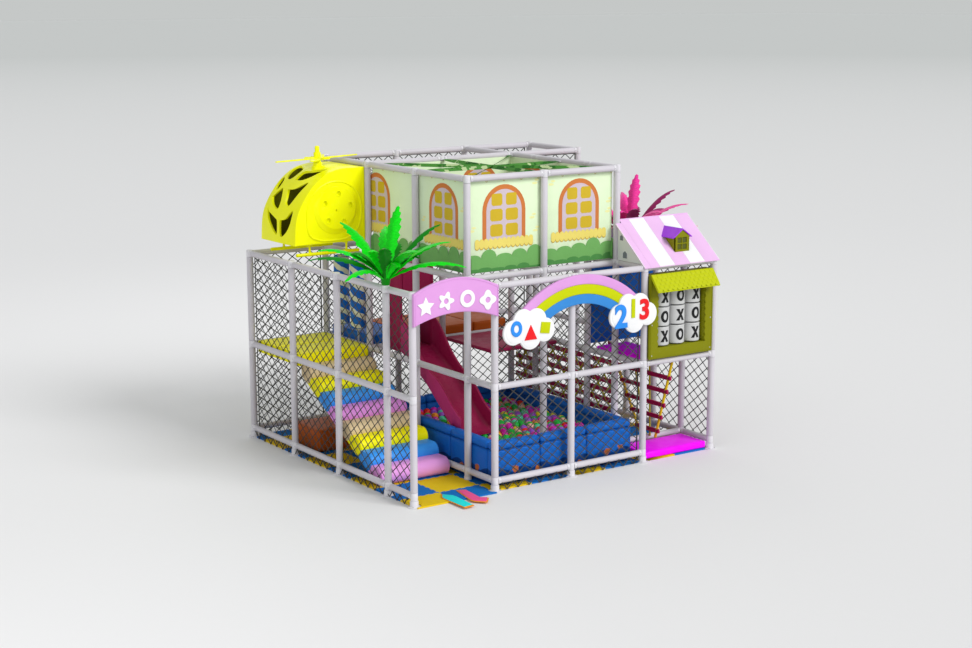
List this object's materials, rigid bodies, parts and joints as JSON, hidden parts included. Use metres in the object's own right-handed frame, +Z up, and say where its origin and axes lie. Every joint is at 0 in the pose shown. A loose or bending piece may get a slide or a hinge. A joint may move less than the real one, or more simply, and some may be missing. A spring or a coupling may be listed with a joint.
{
  "type": "indoor playground",
  "caption": "Tube-frame soft play structure with foam stairs, a slide into a ball pit, nets, spinning rollers and drums, a play house and a helicopter.",
  "frame": {"origin": "on the floor under the near left corner post of the front wall", "axes": "+X along the front wall to the right, +Y back along the left wall, +Z up"},
  "size_m": [6.5386, 4.735, 4.12],
  "materials": {
    "sleeve_white": "foam sleeves with a smooth vinyl skin",
    "net_cord": "knotted cord",
    "mat_foam": "jigsaw foam tiles",
    "arrow_cyan": "foam",
    "arrow_pink": "foam",
    "foam_pink": "vinyl over foam",
    "foam_blue": "vinyl over foam",
    "foam_yellow": "vinyl over foam",
    "foam_beige": "vinyl over foam",
    "foam_mauve": "vinyl over foam",
    "foam_orange": "vinyl over foam",
    "slide_crimson": "smooth",
    "balls": "soft plastic balls of many colours",
    "board_lilac": "painted board",
    "house_print": "printed panel",
    "strap_green": "webbing",
    "roof_pink": "pink and white stripes",
    "olive": "moulded",
    "awning_olive": "moulded shingles",
    "drum_white": "moulded, printed marks",
    "heli_yellow": "moulded",
    "palm_green": "moulded leaves",
    "palm_pink": "moulded leaves",
    "pad_magenta": "vinyl over foam",
    "ladder_rope": "twisted rope",
    "plank_maroon": "planks"
  },
  "bodies": {
    "playground": {"frame_front": "sleeve_white", "frame_left": "sleeve_white", "frame_mid_left": "sleeve_white", "frame_mid_right": "sleeve_white", "frame_right": "sleeve_white", "frame_back": "sleeve_white", "frame_house": "sleeve_white", "net_left": "net_cord", "net_front": "net_cord", "net_right": "net_cord", "net_back": "net_cord", "net_crown_front": "net_cord", "floor_mat": "mat_foam", "arrow_in": "arrow_cyan", "arrow_out": "arrow_pink", "step_1": "foam_pink", "step_2": "foam_blue", "step_3": "foam_yellow", "step_4": "foam_beige", "step_5": "foam_mauve", "step_6": "foam_blue", "step_7": "foam_yellow", "step_8": "foam_beige", "deck_left": "foam_yellow", "foam_block": "foam_orange", "corridor_pad": "foam_blue", "deck_mid": "slide_crimson", "slide": "slide_crimson", "slide_hood": "slide_crimson", "pit_wall": "foam_blue", "ball_bed": "balls", "entrance_sign": "board_lilac", "rainbow_board": "board_lilac", "house_cover": "house_print", "roof_straps": "strap_green", "striped_roof": "roof_pink", "dormer": "olive", "awning": "awning_olive", "game_frame": "olive", "heli_cabin": "heli_yellow", "heli_skids": "heli_yellow", "palm_green": "palm_green", "palm_pink": "palm_pink", "rope_ladder": "ladder_rope", "plank_net": "plank_maroon", "floor_pad_magenta": "pad_magenta", "deck_pad_magenta": "pad_magenta", "blue_panel": "foam_blue"},
    "roller_1_body": {"roller_1": "foam_blue"},
    "roller_2_body": {"roller_2": "foam_blue"},
    "drum_1_1_body": {"drum_1_1": "drum_white"},
    "drum_1_2_body": {"drum_1_2": "drum_white"},
    "drum_1_3_body": {"drum_1_3": "drum_white"},
    "drum_2_1_body": {"drum_2_1": "drum_white"},
    "drum_2_2_body": {"drum_2_2": "drum_white"},
    "drum_2_3_body": {"drum_2_3": "drum_white"},
    "drum_3_1_body": {"drum_3_1": "drum_white"},
    "drum_3_2_body": {"drum_3_2": "drum_white"},
    "drum_3_3_body": {"drum_3_3": "drum_white"},
    "rotor_body": {"rotor": "heli_yellow"}
  },
  "joints": [
    {"name": "roller_1_spin", "type": "hinge", "parent": "playground", "child": "roller_1_body", "pos_m": [1.2, 3.306, 2.055], "axis": [0, 0, 1], "continuous": true},
    {"name": "roller_2_spin", "type": "hinge", "parent": "playground", "child": "roller_2_body", "pos_m": [1.2, 3.75, 2.055], "axis": [0, 0, 1], "continuous": true},
    {"name": "drum_1_1_spin", "type": "hinge", "parent": "playground", "child": "drum_1_1_body", "pos_m": [3.916, 0.055, 2.205], "axis": [0, 0, 1], "continuous": true},
    {"name": "drum_1_2_spin", "type": "hinge", "parent": "playground", "child": "drum_1_2_body", "pos_m": [4.184, 0.055, 2.205], "axis": [0, 0, 1], "continuous": true},
    {"name": "drum_1_3_spin", "type": "hinge", "parent": "playground", "child": "drum_1_3_body", "pos_m": [4.452, 0.055, 2.205], "axis": [0, 0, 1], "continuous": true},
    {"name": "drum_2_1_spin", "type": "hinge", "parent": "playground", "child": "drum_2_1_body", "pos_m": [3.916, 0.055, 1.941], "axis": [0, 0, 1], "continuous": true},
    {"name": "drum_2_2_spin", "type": "hinge", "parent": "playground", "child": "drum_2_2_body", "pos_m": [4.184, 0.055, 1.941], "axis": [0, 0, 1], "continuous": true},
    {"name": "drum_2_3_spin", "type": "hinge", "parent": "playground", "child": "drum_2_3_body", "pos_m": [4.452, 0.055, 1.941], "axis": [0, 0, 1], "continuous": true},
    {"name": "drum_3_1_spin", "type": "hinge", "parent": "playground", "child": "drum_3_1_body", "pos_m": [3.916, 0.055, 1.677], "axis": [0, 0, 1], "continuous": true},
    {"name": "drum_3_2_spin", "type": "hinge", "parent": "playground", "child": "drum_3_2_body", "pos_m": [4.184, 0.055, 1.677], "axis": [0, 0, 1], "continuous": true},
    {"name": "drum_3_3_spin", "type": "hinge", "parent": "playground", "child": "drum_3_3_body", "pos_m": [4.452, 0.055, 1.677], "axis": [0, 0, 1], "continuous": true},
    {"name": "rotor_spin", "type": "hinge", "parent": "playground", "child": "rotor_body", "pos_m": [0.696, 3.48, 3.95], "axis": [0, 0, 1], "continuous": true}
  ]
}
